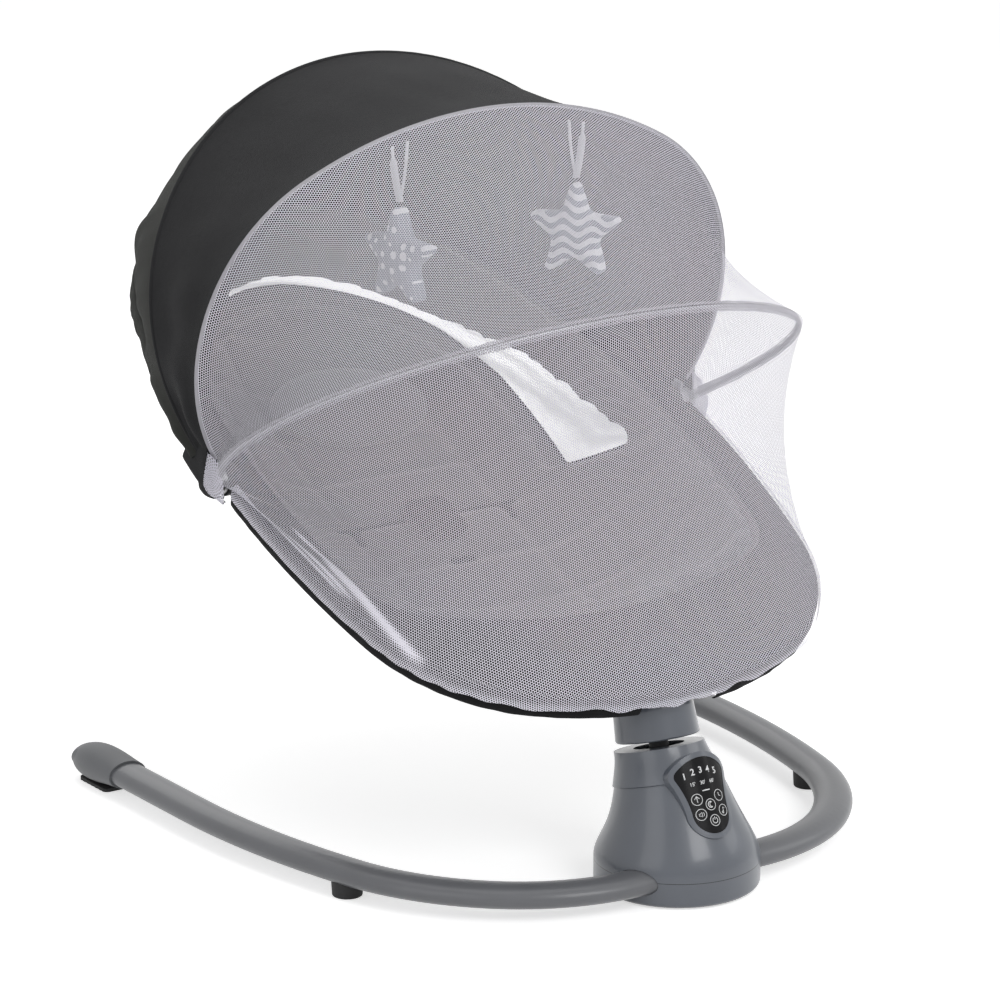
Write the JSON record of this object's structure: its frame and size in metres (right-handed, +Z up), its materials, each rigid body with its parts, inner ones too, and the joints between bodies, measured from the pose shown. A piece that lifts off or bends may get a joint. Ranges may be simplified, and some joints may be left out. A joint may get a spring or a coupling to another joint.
{
  "type": "baby swing",
  "caption": "Electric baby swing: bell-shaped base with curved legs, tilted fabric seat on an oblique neck, folding canopy, insect net on a third bow and hanging stars",
  "frame": {"origin": "centre of the base on the floor, on the underside of its non-slip mat", "axes": "+X to the right leg, +Y from the base towards the head end of the seat, +Z up; the plane X = 0 is the plane of symmetry"},
  "size_m": [0.56, 0.7235, 0.6105],
  "materials": {
    "housing_plastic": "satin moulded plastic",
    "leg_coating": "satin powder coat",
    "cap_plastic": "fine moulded grain",
    "pad_rubber": "soft non-slip rubber",
    "panel_gloss": "polished touch panel",
    "board_green": "circuit board",
    "inner_plastic": "moulded inner part",
    "bearing_steel": "ground steel",
    "coil_copper": "enamelled copper winding",
    "frame_steel": "powder-coated steel tube",
    "bow_steel": "spring steel wire",
    "canopy_fabric": "plain weave",
    "cover_fabric": "elasticated weave",
    "seat_fabric": "soft knitted seat cloth",
    "pillow_fabric": "soft knitted cloth, filled",
    "vent_mesh_white": "fine translucent mesh",
    "net_white": "hexagonal insect net",
    "strap_webbing": "woven webbing",
    "buckle_plastic": "moulded plastic",
    "star_fabric": "plush cotton with a simple white pattern",
    "ribbon_white": "satin ribbon"
  },
  "bodies": {
    "base": {"base_mat": "pad_rubber", "base_plate": "inner_plastic", "base_ring": "housing_plastic", "motor_housing": "housing_plastic", "panel_shroud": "housing_plastic", "control_panel": "panel_gloss", "circuit_board": "board_green", "bearing_carrier": "inner_plastic", "upper_bearing": "bearing_steel", "lower_bearing": "bearing_steel", "drive_coil": "coil_copper", "speaker": "inner_plastic", "power_inlet": "inner_plastic", "base_screws": "bearing_steel", "left_leg": "leg_coating", "left_leg_foot": "pad_rubber", "left_end_cap": "cap_plastic", "left_cap_pad": "pad_rubber", "right_leg": "leg_coating", "right_leg_foot": "pad_rubber", "right_end_cap": "cap_plastic", "right_cap_pad": "pad_rubber"},
    "seat": {"swing_shaft": "bearing_steel", "drive_arm": "inner_plastic", "drive_magnet": "bearing_steel", "neck_collar": "housing_plastic", "seat_hub": "housing_plastic", "hub_screws": "bearing_steel", "foot_tube": "frame_steel", "head_tube": "frame_steel", "left_side_joint": "inner_plastic", "right_side_joint": "inner_plastic", "pivot_pins": "inner_plastic", "seat_cover": "cover_fabric", "cover_skirt": "cover_fabric", "seat_sling": "seat_fabric", "vent_mesh": "vent_mesh_white", "seat_pad": "seat_fabric", "head_pillow": "pillow_fabric", "harness_buckle": "buckle_plastic", "crotch_strap": "strap_webbing", "waist_straps": "strap_webbing"},
    "canopy_rear": {"rear_bow": "bow_steel", "canopy_rear_panel": "canopy_fabric"},
    "canopy_front": {"front_bow": "bow_steel", "canopy_front_panel": "canopy_fabric", "upper_net": "net_white"},
    "net_arch": {"net_bow": "bow_steel", "lower_net": "net_white"},
    "right_toy": {"right_star": "star_fabric", "right_ribbon": "ribbon_white"},
    "left_toy": {"left_star": "star_fabric", "left_ribbon": "ribbon_white"}
  },
  "joints": [
    {"name": "seat_swing", "type": "hinge", "parent": "base", "child": "seat", "pos_m": [0, 0.0257, 0.1094], "axis": [0, 0.2672, 0.9636], "range_deg": [-12, 12]},
    {"name": "canopy_fold", "type": "hinge", "parent": "seat", "child": "canopy_rear", "pos_m": [0, 0.316, 0.30101], "axis": [-1, 0, 0], "range_deg": [0, 33], "deforming": ["canopy_rear_panel"]},
    {"name": "front_bow_fold", "type": "hinge", "parent": "canopy_rear", "child": "canopy_front", "pos_m": [0, 0.316, 0.30101], "axis": [-1, 0, 0], "range_deg": [0, 27], "deforming": ["canopy_front_panel"]},
    {"name": "net_lift", "type": "hinge", "parent": "canopy_front", "child": "net_arch", "pos_m": [0, 0.316, 0.30101], "axis": [-1, 0, 0], "range_deg": [0, 38], "deforming": ["upper_net", "lower_net"]},
    {"name": "right_star_hang", "type": "hinge", "parent": "canopy_front", "child": "right_toy", "pos_m": [0.088, 0.2666, 0.58119], "axis": [1, 0, 0], "range_deg": [-55, 55]},
    {"name": "left_star_hang", "type": "hinge", "parent": "canopy_front", "child": "left_toy", "pos_m": [-0.088, 0.2666, 0.58119], "axis": [1, 0, 0], "range_deg": [-55, 55]}
  ],
  "couplings": [
    {"joint": "front_bow_fold", "follows": "canopy_fold", "ratio": 0.81818}
  ]
}
